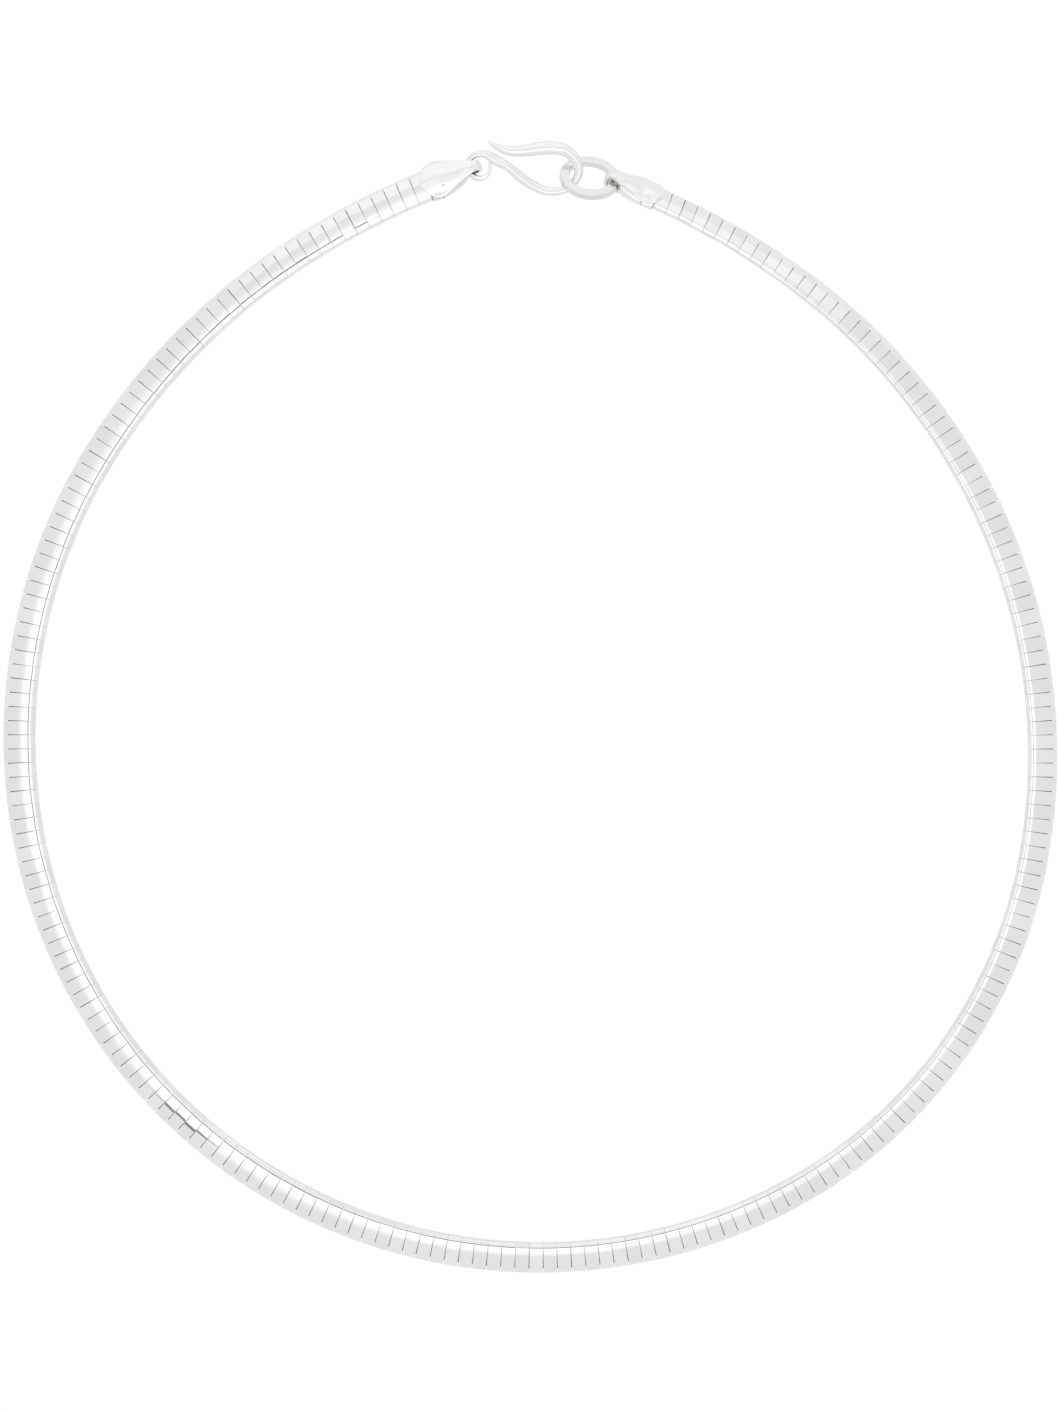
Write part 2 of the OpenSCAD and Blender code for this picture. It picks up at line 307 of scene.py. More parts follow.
class FinishSettings(bpy.types.PropertyGroup):
    """Colours of the silver in its different finishes, and of the shade painted on it."""

    plates: bpy.props.FloatVectorProperty(
        name="Plates", description="Bright polished silver of the plates", default=linear("F1F1F0"),
        size=4, subtype="COLOR", min=0.0, max=1.0,
    )
    plates_shade: bpy.props.FloatVectorProperty(
        name="Plates, cooler", description="The most that a plate's tone differs", default=linear("EAEAE9"),
        size=4, subtype="COLOR", min=0.0, max=1.0,
    )
    caps: bpy.props.FloatVectorProperty(
        name="Caps", description="Soft polished silver of the end caps", default=linear("F2F2F1"),
        size=4, subtype="COLOR", min=0.0, max=1.0,
    )
    wire: bpy.props.FloatVectorProperty(
        name="Wire", description="Tumbled silver of the hook and the ring", default=linear("F2F2F1"),
        size=4, subtype="COLOR", min=0.0, max=1.0,
    )
    # Painted shade: the grey that darkens the hook's and the ring's wire towards its edges
    wire_painted_shade: bpy.props.FloatVectorProperty(
        name="Painted edge shade", description="Thin grey film on handled silver", default=linear("E4E3E1"),
        size=4, subtype="COLOR", min=0.0, max=1.0,
    )
    # Painted shade: the grey that darkens the caps inside their loops and on their folded backs
    cap_painted_shade: bpy.props.FloatVectorProperty(
        name="Painted shade in caps", description="Grey film where the wheel doesn't reach", default=linear("C4C3BB"),
        size=4, subtype="COLOR", min=0.0, max=1.0,
    )
    woven: bpy.props.FloatVectorProperty(
        name="Woven wire", description="Tops of the woven wires", default=linear("B9B8B6"),
        size=4, subtype="COLOR", min=0.0, max=1.0,
    )
    # Painted shade between the woven wires
    woven_painted_shade: bpy.props.FloatVectorProperty(
        name="Woven, painted shade", description="Dark silver between the wires", default=linear("5C5A58"),
        size=4, subtype="COLOR", min=0.0, max=1.0,
    )


class StageSettings(bpy.types.PropertyGroup):
    """The camera and the studio."""

    camera_height: bpy.props.FloatProperty(
        name="Camera height", description="Height of the camera above the surface", default=0.7, unit="LENGTH"
    )
    frame_height: bpy.props.FloatProperty(
        name="Frame height", description="Height of the picture at the band", default=0.1717, unit="LENGTH"
    )
    table: bpy.props.FloatProperty(
        name="Table", description="Light that the white table gives the silver", default=0.905,
        min=0.0, max=4.0, subtype="FACTOR",
    )
    room: bpy.props.FloatProperty(
        name="Tent", description="Brightness of the tent round the object", default=0.905,
        min=0.0, max=4.0, subtype="FACTOR",
    )
    softbox: bpy.props.FloatProperty(
        name="Softbox", description="Brightness of the softbox overhead", default=1.25,
        min=0.0, max=8.0, subtype="FACTOR",
    )
    softbox_height: bpy.props.FloatProperty(
        name="Softbox height", description="Its height above the table", default=1.047, unit="LENGTH"
    )
    back_panel: bpy.props.FloatProperty(
        name="Back panels", description="Brightness of the panels behind the clasp", default=1.05,
        min=0.0, max=8.0, subtype="FACTOR",
    )
    card: bpy.props.FloatProperty(
        name="Card", description="Brightness of the white card near the front", default=1.125,
        min=0.0, max=8.0, subtype="FACTOR",
    )


def add(tree, kind, values=None, links=None):
    """Adds one node, sets its properties and sockets, and links other nodes' sockets to its inputs."""
    node = tree.nodes.new(kind)
    for name, value in (values or {}).items():
        if isinstance(name, int) or name in node.inputs:
            node.inputs[name].default_value = value
        else:
            setattr(node, name, value)
    for name, source in (links or {}).items():
        tree.links.new(source, node.inputs[name])
    return node


def fresh(name):
    """A new material with an empty tree."""
    material = bpy.data.materials.new(name)
    material.use_nodes = True
    material.node_tree.nodes.clear()
    return material, material.node_tree


def silver(name, bright, film, *, patches, roughness, waves_mm, waves_high_mm, grain_mm):
    """Polished silver, whose colour runs from bright towards a darker colour by the piece's own_number: on
    the plates a tone of each plate's own, and on the caps, hook and ring a painted shade.

    Its surface has long waves and a fine grain, each with the distance in mm from one to the next.
    """
    scratches_deep_mm = 0.00003
    material, tree = fresh(name)
    place = add(tree, "ShaderNodeTexCoord")
    # Noise makes about one wave for each unit, so a wave length in mm gives 1 / (length in metres)
    waves = add(
        tree, "ShaderNodeTexNoise", {"Scale": 1 / (waves_mm * MM), "Detail": 1.0, "Roughness": 0.4},
        {"Vector": place.outputs["Object"]},
    )
    fine = add(
        tree, "ShaderNodeTexNoise", {"Scale": 1 / (grain_mm * MM), "Detail": 3.0, "Roughness": 0.55},
        {"Vector": place.outputs["Object"]},
    )
    own = add(tree, "ShaderNodeAttribute", {"attribute_name": "own_number"})
    # The darker colour is never quite even: the long waves add random patches of it here and there
    patches_and_painted_shade = add(
        tree, "ShaderNodeMath", {"operation": "MULTIPLY_ADD", 1: patches},
        {0: waves.outputs["Fac"], 2: own.outputs["Fac"]},
    )
    colour = add(
        tree, "ShaderNodeMix", {"data_type": "RGBA", "blend_type": "MIX", 6: bright, 7: film},
        {"Factor": patches_and_painted_shade.outputs["Value"]},
    )
    dull = add(
        tree, "ShaderNodeMapRange",
        {"From Min": 0.3, "From Max": 0.75, "To Min": roughness * 0.8, "To Max": roughness * 1.3},
        {"Value": fine.outputs["Fac"]},
    )
    uneven = add(
        tree, "ShaderNodeBump", {"Strength": 1.0, "Distance": waves_high_mm * MM},
        {"Height": waves.outputs["Fac"]},
    )
    rubbed = add(
        tree, "ShaderNodeBump", {"Strength": 1.0, "Distance": scratches_deep_mm * MM},
        {"Height": fine.outputs["Fac"], "Normal": uneven.outputs["Normal"]},
    )
    metal = add(
        tree, "ShaderNodeBsdfPrincipled", {"Metallic": 1.0},
        {"Base Color": colour.outputs[2], "Roughness": dull.outputs["Result"],
         "Normal": rubbed.outputs["Normal"]},
    )
    add(tree, "ShaderNodeOutputMaterial", None, {"Surface": metal.outputs["BSDF"]})
    return material


def rolled_silver(finish):
    # Rolled sheet, folded and buffed bright: it mirrors the tent in clean bands, and each plate differs a
    # little in tone from its neighbours, so that the chain reads as many separate plates
    return silver(
        "sterling silver sheet, rolled and bright polished", finish.plates, finish.plates_shade,
        patches=0.1, roughness=0.06, waves_mm=1.1, waves_high_mm=0.0024, grain_mm=0.12,
    )


def folded_silver(finish):
    # Sheet folded by hand and rubbed with a soft wheel: its broad waves blur the tent's reflections into even
    # greys. Inside the loops and on the folded back its colour is darkened towards grey, a painted shade.
    return silver(
        "sterling silver sheet, folded by hand and soft polished", finish.caps, finish.cap_painted_shade,
        patches=0.03, roughness=0.11, waves_mm=2.2, waves_high_mm=0.008, grain_mm=0.16,
    )


def forged_silver(finish):
    # Wire drawn, hammered flatter and tumbled: a soft ridge and low hammer marks break its highlights.
    # Towards its edges its colour is darkened to a grey, a painted shade.
    return silver(
        "sterling silver wire, forged and tumbled", finish.wire, finish.wire_painted_shade,
        patches=0.2, roughness=0.09, waves_mm=1.3, waves_high_mm=0.003, grain_mm=0.16,
    )


def woven_silver(finish):
    # Fine wire woven flat and never polished. Between its wires its colour is darkened, a painted shade, so
    # that the gaps between the plates read as lines
    material, tree = fresh("fine silver wire, woven flat")
    place = add(tree, "ShaderNodeTexCoord")
    # Wires 0.22 mm wide, drawn coarser than the real 0.12 mm so that they show. The slanted wave repeats
    # each 0.31 mm, which is a wire and the gap beside it.
    wire = 0.22 * MM
    across = add(
        tree, "ShaderNodeTexWave",
        {"wave_type": "BANDS", "bands_direction": "DIAGONAL", "Scale": 0.32 / wire},
        {"Vector": place.outputs["Object"]},
    )
    cells = add(
        tree, "ShaderNodeTexVoronoi", {"Scale": 1 / wire, "Randomness": 0.25},
        {"Vector": place.outputs["Object"]},
    )
    both = add(
        tree, "ShaderNodeMath", {"operation": "MULTIPLY"},
        {0: across.outputs["Fac"], 1: cells.outputs["Distance"]},
    )
    ramp = add(tree, "ShaderNodeValToRGB", None, {"Fac": both.outputs["Value"]})
    ramp.color_ramp.elements[0].color = finish.woven
    ramp.color_ramp.elements[1].color = finish.woven_painted_shade
    bump = add(
        tree, "ShaderNodeBump", {"Strength": 1.0, "Distance": 0.05 * MM, "invert": True},
        {"Height": both.outputs["Value"]},
    )
    metal = add(
        tree, "ShaderNodeBsdfPrincipled", {"Metallic": 1.0, "Roughness": 0.42},
        {"Base Color": ramp.outputs["Color"], "Normal": bump.outputs["Normal"]},
    )
    add(tree, "ShaderNodeOutputMaterial", None, {"Surface": metal.outputs["BSDF"]})
    return material


def lit_acrylic(light):
    # Matt white acrylic lit from below, as on a shadowless product table: the ground is white, and the
    # silver sees it a little dimmer than the camera does
    material, tree = fresh("white acrylic, lit from below")
    seen = add(tree, "ShaderNodeLightPath")
    place = add(tree, "ShaderNodeTexCoord")
    # Pools of light painted into the glow that the silver sees
    pools = []
    for pool in POOLS:
        away = add(
            tree, "ShaderNodeVectorMath", {"operation": "DISTANCE", 1: (pool["x"], pool["y"], 0.0)},
            {0: place.outputs["Object"]},
        )
        pools.append(add(
            tree, "ShaderNodeMapRange",
            {"interpolation_type": "SMOOTHSTEP", "From Min": pool["full"], "From Max": pool["none"],
             "To Min": light * pool["more"], "To Max": light},
            {"Value": away.outputs["Value"]},
        ).outputs["Result"])
    brightest = add(tree, "ShaderNodeMath", {"operation": "MAXIMUM"}, {0: pools[0], 1: pools[1]})
    level = add(
        tree, "ShaderNodeMapRange", {"To Max": 1.0},
        {"Value": seen.outputs["Is Camera Ray"], "To Min": brightest.outputs["Value"]},
    )
    glow = add(tree, "ShaderNodeEmission", None, {"Strength": level.outputs["Result"]})
    add(tree, "ShaderNodeOutputMaterial", None, {"Surface": glow.outputs["Emission"]})
    return material


def soft_edged(name, kind, values, reach, fade):
    # A studio panel that fades out towards its rim, as light does through a diffuser's edge. With one reach
    # it is round, and with two a rectangle.
    material, tree = fresh(name)
    place = add(tree, "ShaderNodeTexCoord")
    if len(reach) == 1:
        away = add(tree, "ShaderNodeVectorMath", {"operation": "LENGTH"}, {0: place.outputs["Object"]})
        offsets = [away.outputs["Value"]]
    else:
        part = add(tree, "ShaderNodeSeparateXYZ", None, {"Vector": place.outputs["Object"]})
        offsets = [
            add(tree, "ShaderNodeMath", {"operation": "ABSOLUTE"}, {0: part.outputs[axis]}).outputs["Value"]
            for axis in ("X", "Y")
        ]
    masks = [
        add(
            tree, "ShaderNodeMapRange",
            {"interpolation_type": "SMOOTHSTEP", "From Min": far - soft, "From Max": far + soft,
             "To Min": 1.0, "To Max": 0.0},
            {"Value": offset},
        ).outputs["Result"]
        for offset, far, soft in zip(offsets, reach, fade)
    ]
    mask = masks[0]
    if len(masks) > 1:
        mask = add(tree, "ShaderNodeMath", {"operation": "MULTIPLY"}, {0: mask, 1: masks[1]}).outputs["Value"]
    clear = add(tree, "ShaderNodeBsdfTransparent")
    shader = add(tree, kind, values)
    mixed = add(tree, "ShaderNodeMixShader", None, {0: mask, 1: clear.outputs["BSDF"], 2: shader.outputs[0]})
    add(tree, "ShaderNodeOutputMaterial", None, {"Surface": mixed.outputs["Shader"]})
    return material


def power_curve(y, half, height, power):
    """Height of a flattened half ellipse at a distance from its middle."""
    return height * max(0.0, 1 - abs(y / half) ** power) ** (1 / power)


def left_of(line, k):
    """The direction to the left of a line of points at one of them, in its first two coordinates."""
    a, b = line[max(k - 1, 0)], line[min(k + 1, len(line) - 1)]
    run = math.hypot(b[0] - a[0], b[1] - a[1])
    return -(b[1] - a[1]) / run, (b[0] - a[0]) / run


def skin(rings, count, base=0, closed=True, looped=False, inward=False):
    """Quads that join rings of so many points, counted from base.

    A closed ring joins its last point to its first, and a looped skin its last ring to its first. An inward
    skin has its front on the other side.
    """
    faces = []
    for row in range(rings if looped else rings - 1):
        this, following = base + row * count, base + (row + 1) % rings * count
        for k in range(count if closed else count - 1):
            after = (k + 1) % count
            quad = (this + k, this + after, following + after, following + k)
            faces.append(quad[:1] + quad[:0:-1] if inward else quad)
    return faces


class Outline:
    """A plate's section in mm, outside and inside, from one lip over the face to the other.

    Its y is towards the collar's middle, and its z out of the face.
    """

    # How square the face and the back are: 2 is an ellipse, and more is flatter in the middle
    face_power, back_power = 2.35, 3.0
    # How far the lips slant back from the slot
    lip_slant = 0.06

    def __init__(self, band):
        half, sheet = band.width / 2 / MM, band.sheet / MM
        face, back, lip = band.face_height / MM, band.back_depth / MM, band.slot / 2 / MM
        self.outer = self.section(half, face, back, lip, over=34, under=8)
        self.inner = self.section(
            half - sheet, face - sheet, back - sheet, lip + self.lip_slant, over=10, under=3
        )

    def section(self, half, face, back, lip, over, under):
        """Points with so many steps over the face, and under it from each edge to the lip."""
        below, above = [], []
        for k in range(under, 0, -1):
            y = half - (half - lip) * (1 - math.cos(math.pi / 2 * k / under))
            below.append((y, -power_curve(y, half, back, self.back_power)))
        for k in range(over + 1):
            y = half * math.cos(math.pi * k / over)
            above.append((y, power_curve(y, half, face, self.face_power)))
        return below + above + [(-y, z) for y, z in reversed(below)]

    @staticmethod
    def normals(points, sign):
        """Directions out of the sheet: the sign is 1 on its outside and -1 on its inside."""
        sides = [left_of(points, k) for k in range(len(points))]
        return [(-sign * y, -sign * z) for y, z in sides]

    def lowest(self, roll):
        """Where the section's lowest point is, from its middle, when the band leans."""
        return min(y * math.sin(roll) + z * math.cos(roll) for y, z in self.outer)


class BandPath:
    """Where the band's middle is, and how it is turned, at each length along it, in mm."""

    # How far the caps hold the ends of the band up, and how long the stretch is that they lift
    hook_lift, ring_lift, lift_length = 0.66, 0.86, 20.0

    def __init__(self, outline):
        self.outline = outline
        self.arcs, s, heading, point, roll = [], 0.0, math.radians(HEADING_START), PATH_START, ROLL_START
        for row in ARCS:
            sweep = math.radians(row["sweep"])
            self.arcs.append((s, heading, point, roll, row))
            point = self.turned(point, heading, heading + sweep, row["radius"])
            s, heading, roll = s + sweep * row["radius"], heading + sweep, row["roll"]
        self.length = s

    @staticmethod
    def turned(point, h0, h1, radius):
        """A point moved along an arc from one heading to another."""
        return (
            point[0] + radius * (math.sin(h1) - math.sin(h0)),
            point[1] - radius * (math.cos(h1) - math.cos(h0)),
        )

    def at(self, s):
        """Point in plan, heading and roll."""
        start, heading, point, roll, row = max(
            (arc for arc in self.arcs if arc[0] <= max(s, 0.0)), key=lambda arc: arc[0]
        )
        h = heading + (s - start) / row["radius"]
        share = min(1.0, max(0.0, (s - start) / (math.radians(row["sweep"]) * row["radius"])))
        roll += (row["roll"] - roll) * share
        return self.turned(point, heading, h, row["radius"]), h, math.radians(roll)

    def height(self, s):
        """Height of the middle, with the band's lowest edge on the table or lifted by the caps."""
        lift = self.hook_lift * max(0.0, 1 - s / self.lift_length) ** 2
        lift += self.ring_lift * max(0.0, 1 - (self.length - s) / self.lift_length) ** 2
        return lift - self.outline.lowest(self.at(s)[2])

    def frame(self, s):
        """Place and turn of the band: X along it, Y to its inner edge, Z out of its face."""
        point, heading, roll = self.at(s)
        # The slope over the millimetre round s
        slope = math.atan(self.height(s + 0.5) - self.height(s - 0.5))
        return (
            Matrix.Translation((point[0], point[1], self.height(s)))
            @ Matrix.Rotation(heading, 4, "Z")
            @ Matrix.Rotation(-slope, 4, "Y")
            @ Matrix.Rotation(roll, 4, "X")
        )

    def cap_frame(self, end, overlap):
        """The same for a cap: X from its leaf's tip to its loop."""
        s = overlap if end["at_hook"] else self.length - overlap
        point, heading, roll = self.at(s)
        roll = -roll if end["at_hook"] else roll
        return (
            Matrix.Translation((point[0], point[1], self.height(s)))
            @ Matrix.Rotation(heading + math.radians(end["turn"]), 4, "Z")
            @ Matrix.Rotation(-math.radians(end["slope"]), 4, "Y")
            @ Matrix.Rotation(roll + math.radians(end["roll"]), 4, "X")
            @ Matrix.Translation((0, end["aside"], 0))
        )


def new_piece(name, points, faces, material, node, normals=None, numbers=None, weld=False):
    """A mesh in metres from points in mm, riding on the collar and standing for its node."""
    mesh = bpy.data.meshes.new(name)
    mesh.from_pydata([tuple(c * MM for c in p) for p in points], [], faces)
    mesh.polygons.foreach_set("use_smooth", [True] * len(mesh.polygons))
    if numbers is not None:
        layer = mesh.attributes.new("own_number", "FLOAT", "POINT")
        layer.data.foreach_set("value", numbers)
    mesh.update()
    if weld:
        # Points less than a thousandth of a millimetre apart are one
        form = bmesh.new()
        form.from_mesh(mesh)
        bmesh.ops.remove_doubles(form, verts=form.verts, dist=MM / 1000)
        bmesh.ops.recalc_face_normals(form, faces=form.faces)
        form.to_mesh(mesh)
        form.free()
    if normals is not None:
        mesh.normals_split_custom_set_from_vertices(normals)
    mesh.materials.append(material)
    piece = bpy.data.objects.new(name, mesh)
    bpy.context.scene.collection.objects.link(piece)
    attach(piece, "root")
    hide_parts(node)


def settings(context):
    """The sizes of the band, caps and clasp, the colours, and the studio's settings."""
    scene = context.scene
    return scene.collar_band, scene.collar_caps, scene.collar_clasp, scene.collar_finish, scene.collar_stage


class NECKLACE_OT_plates(bpy.types.Operator):
    """Make the plates of the omega chain, side by side along the whole collar."""

    bl_idname = "necklace.plates"
    bl_label = "Omega plates"

    def execute(self, context):
        band, _, _, finish, _ = settings(context)
        outline = Outline(band)
        path = BandPath(outline)
        pitch = path.length / band.plates
        plate_points, plate_normals, plate_faces = self.one_plate(band, outline)
        points, normals, faces, numbers = [], [], [], []
        # A fixed seed, so that the plates are the same in each run
        chance = random.Random(7)
        for number in range(band.plates):
            # Each plate has a tone of its own, and stands a little out of line, most of all across the band
            own = chance.random()
            place = path.frame((number + 0.5) * pitch)
            place = place @ Matrix.Rotation(chance.gauss(0, band.unevenness), 4, "X")
            place = place @ Matrix.Rotation(chance.gauss(0, band.unevenness / 2), 4, "Y")
            turn = place.to_3x3()
            faces.extend(tuple(len(points) + k for k in face) for face in plate_faces)
            points.extend([place @ point for point in plate_points])
            normals.extend((turn @ normal).normalized() for normal in plate_normals)
            numbers.extend([own] * len(plate_points))
        new_piece("omega_plates_polished", points, faces, rolled_silver(finish),
                  "omega_plates", normals, numbers)
        return {"FINISHED"}

    @staticmethod
    def one_plate(band, outline):
        """A plate's points, normals and faces in mm, with X along the band and Z out of its face."""
        half, worn = band.plate_length / MM / 2, band.edge / MM
        # From one cut edge to the other: place, how far the worn edge is drawn in, and its normal's lean
        bend = MIDDLE_OF_EDGE
        stations = [
            (-half, 1.0, -0.9), (-half + bend * worn, bend, -0.6), (-half + worn, 0.0, 0.0),
            (half - worn, 0.0, 0.0), (half - bend * worn, bend, 0.6), (half, 1.0, 0.9),
        ]
        outer, inner = outline.outer, outline.inner
        outer_n, inner_n = outline.normals(outer, 1), outline.normals(inner, -1)
        count, hollow = len(outer), len(inner)

        def drawn_in(k, x, draw):
            """One of the outside's points at x, drawn in by a share of the wear."""
            (y, z), (ny, nz) = outer[k], outer_n[k]
            return Vector((x, y - ny * draw * worn, z - nz * draw * worn))

        points, normals = [], []
        for x, draw, lean in stations:
            flat = math.sqrt(1 - lean * lean)
            points.extend(drawn_in(k, x, draw) for k in range(count))
            normals.extend(Vector((lean, ny * flat, nz * flat)) for ny, nz in outer_n)
        faces = skin(len(stations), count, closed=False)
        faces += skin(2, hollow, base=len(points), closed=False, inward=True)
        for x in (-half, half):
            points.extend(Vector((x, y, z)) for y, z in inner)
            normals.extend(Vector((0, ny, nz)) for ny, nz in inner_n)
        # Cut ends and lips, with points of their own so that their edges stay crisp
        for side in (-1, 1):
            rim = len(points)
            points.extend(drawn_in(k, side * half, 1.0) for k in range(count))
            points.extend(Vector((side * half, y, z)) for y, z in inner)
            normals.extend([Vector((side, 0, 0))] * (count + hollow))
            # The inside has fewer points, so that most of the faces are triangles
            beside = [rim + count + round(k * (hollow - 1) / (count - 1)) for k in range(count)]
            for k in range(count - 1):
                face = [rim + k, rim + k + 1, beside[k + 1]]
                if beside[k] != beside[k + 1]:
                    face.append(beside[k])
                faces.append(tuple(face if side < 0 else reversed(face)))
        for end in (0, -1):
            lip = len(points)
            points.extend(drawn_in(end, x, draw) for x, draw, _ in stations)
            points.extend(Vector((x, *inner[end])) for x in (half, -half))
            normals.extend([Vector((0, 1 if end else -1, 0))] * (len(points) - lip))
            face = range(lip, len(points))
            faces.append(tuple(reversed(face) if end else face))
        return points, normals, faces


class NECKLACE_OT_core(bpy.types.Operator):
    """Give the woven core its wire."""

    bl_idname = "necklace.core"
    bl_label = "Woven core"

    def execute(self, context):
        _, _, _, finish, _ = settings(context)
        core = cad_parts["mesh_core"]
        core.data.materials.clear()
        core.data.materials.append(woven_silver(finish))
        return {"FINISHED"}


def ease(value, start, end):
    """From 0 at start to 1 at end, with soft ends. The end may lie before the start."""
    t = min(1.0, max(0.0, (value - start) / (end - start)))
    return t * t * (3 - 2 * t)


def curve_between(a, b, c, d, t):
    """A smooth curve through four values, at a share t of the way from the second to the third."""
    bend, twist = 2 * a - 5 * b + 4 * c - d, 3 * b - a - 3 * c + d
    return 0.5 * (2 * b + (c - a) * t + bend * t * t + twist * t ** 3)


def smooth_rows(rows, steps):
    """Rows of numbers drawn out into a smooth curve, with so many steps from one to the next."""
    line = []
    for k in range(len(rows) - 1):
        four = [rows[max(k - 1, 0)], rows[k], rows[k + 1], rows[min(k + 2, len(rows) - 1)]]
        for j in range(steps):
            line.append([curve_between(*values, j / steps) for values in zip(*four)])
    line.append(list(rows[-1]))
    return line


def between_rows(rows, x, key):
    """The value of a table's column at x, on straight lines between its rows."""
    for a, b in zip(rows, rows[1:]):
        if x <= b["x"]:
            return a[key] + (b[key] - a[key]) * max(0.0, (x - a["x"]) / (b["x"] - a["x"]))
    return rows[-1][key]


class NECKLACE_OT_end_caps(bpy.types.Operator):
    """Make the two folded end caps: a leaf whose tongue curls into a loop, a mouth and a neck."""

    bl_idname = "necklace.end_caps"
    bl_label = "End caps"

    # How far round the loop the tongue goes, in radians
    curl = 4.9
    # All that follows is in mm, and places are from the leaf's tip. The lines across the leaf fan out round
    # its tip from here.
    fan = 1.3
    # Where the leaf's middle comes down to the neck, and where the sheet thickens into the tongue
    comes_down, thickens = (2.0, 5.6), (4.4, 5.6)
    # Where the tip of the ring's leaf gets fuller, and by what share on the collar's inner and outer side
    blunter, fuller_inside, fuller_outside = (1.5, 0.3), 0.26, 0.12
    # The hook's leaf was folded a little off its middle, and comes back to it here
    off_middle, comes_back = 0.08, (7.0, 5.0)
    # The fall at the rim of the hook's leaf is this share of the table's, less what the folds take up
    rim_share, taken_up = 0.66, 0.2
    # The clamped mouth that grips the woven core, and where the neck that runs on to the loop starts
    mouth, neck = (0.75, 2.3), 2.43
    # Inside this radius of the loop the curl is darkened by painted shade, which comes in over a short way,
    # and along the tongue it comes in between these distances before the loop's axis
    unpolished, comes_in, before_loop = 0.98, 0.1, (1.2, 0.2)

    def execute(self, context):
        band, cap, _, finish, _ = settings(context)
        path = BandPath(Outline(band))
        material = folded_silver(finish)
        for end in CAPS:
            points, faces, film = [], [], []
            self.leaf(cap, end, points, faces, film)
            for span in (self.mouth, (self.neck, end["neck_end"])):
                self.shell(cap, end, span, points, faces, film)
            place = path.cap_frame(end, cap.overlap / MM)
            new_piece(end["piece"], [place @ Vector(p) for p in points], faces, material,
                      end["node"], numbers=film, weld=True)
        return {"FINISHED"}

    def crown(self, cap, x):
        """Height of the leaf along its middle: level over the band and lower at the neck."""
        front, neck = cap.front / MM, (cap.loop_radius - cap.loop_drop) / MM
        return front + (neck - front) * ease(x, *self.comes_down)

    def blunt(self, x, y, at_hook):
        """The tip of the ring's leaf is blunter, most of all on the collar's inner side."""
        if at_hook:
            return y
        return y * (1 + (self.fuller_inside if y > 0 else self.fuller_outside) * ease(x, *self.blunter))

    def face(self, cap, x, y, share, fall, at_hook):
        """Height of the leaf's face at a share of the way out to its rim, where it is rounded over."""
        height = self.crown(cap, x)
        if not at_hook:
            return height - fall * share ** 3
        for fold in FOLDS:
            beyond = y - fold["y"] - fold["slant"] * x
            fallen = (fold["outer"] + fold["inner"]) * math.hypot(beyond, fold["soft"])
            height -= (fallen + (fold["outer"] - fold["inner"]) * beyond) / 2
        return height - max(0.0, self.rim_share * fall - self.taken_up) * share ** 6

    def leaf(self, cap, end, points, faces, film):
        """The leaf and its tongue: a section from the middle round the rim, at each point of the outline."""
        at_hook = end["at_hook"]
        rim, sheet, tongue, drop = cap.rim / MM, cap.sheet / MM, cap.tongue / MM, cap.loop_drop / MM
        loop = (cap.hook_loop if at_hook else cap.ring_loop) / MM
        last, least_step, steps, lines = loop + self.curl * cap.loop_radius / MM, 0.4, 6, 14
        rows = [(row["x"], row["half"], row["fall"]) for row in LEAF if row["x"] < last - least_step]
        rows.append((last, LEAF[-1]["half"], LEAF[-1]["fall"]))
        mirrored = [(x, -half, fall) for x, half, fall in rows[:0:-1]]
        outline = [
            (x, self.blunt(x, y, at_hook), fall) for x, y, fall in smooth_rows(mirrored + rows, steps)
        ]
        shares = [k / lines for k in range(lines + 1)]
        for k, (x, y, fall) in enumerate(outline):
            nx, ny = left_of(outline, k)
            ix, iy = x - nx * rim, y - ny * rim
            cx = max(x, self.fan)
            aside = self.off_middle * ease(x, *self.comes_back) if at_hook else 0.0
            # The tongue is thicker than the leaf, with straight sides
            thicker = ease(x, *self.thickens)
            middle, side = sheet + (tongue - sheet) * thicker, 2 * rim + (tongue - 2 * rim) * thicker
            upper, edge = [], []
            for share in shares:
                px, py = cx + (ix - cx) * share, iy * share
                upper.append((px, py + aside, self.face(cap, px, py, share, fall, at_hook)))
            # Round the rim: down to the level from the face, and from there to the underside
            for degrees in (70, 45, 20, -5, -35, -65, -90):
                t = math.radians(degrees)
                centre = upper[-1][2] - (rim if degrees > -10 else side - rim)
                edge.append((ix + nx * rim * math.cos(t), iy + ny * rim * math.cos(t) + aside,
                             centre + rim * math.sin(t)))
            lower = [
                (px, py, z - (middle + (side - middle) * share)) for (px, py, z), share in zip(upper, shares)
            ]
            points.extend(upper + edge + lower[::-1])
        count = len(points) // len(outline)
        faces.extend(skin(len(outline), count, closed=False))
        faces.append(tuple(range(count)))
        faces.append(tuple(range(len(points) - 1, len(points) - 1 - count, -1)))
        # The tongue past the loop's middle is curled round the loop's axis
        for k, (x, y, z) in enumerate(points):
            radius = z + drop
            # Painted shade on the curl's inner side, near the loop's axis
            inside = ease(radius, self.unpolished, self.unpolished - self.comes_in)
            film.append(inside * ease(x, *(loop - before for before in self.before_loop)))
            if x > loop:
                turn = (x - loop) * MM / cap.loop_radius
                points[k] = (loop + radius * math.sin(turn), y, -drop + radius * math.cos(turn))

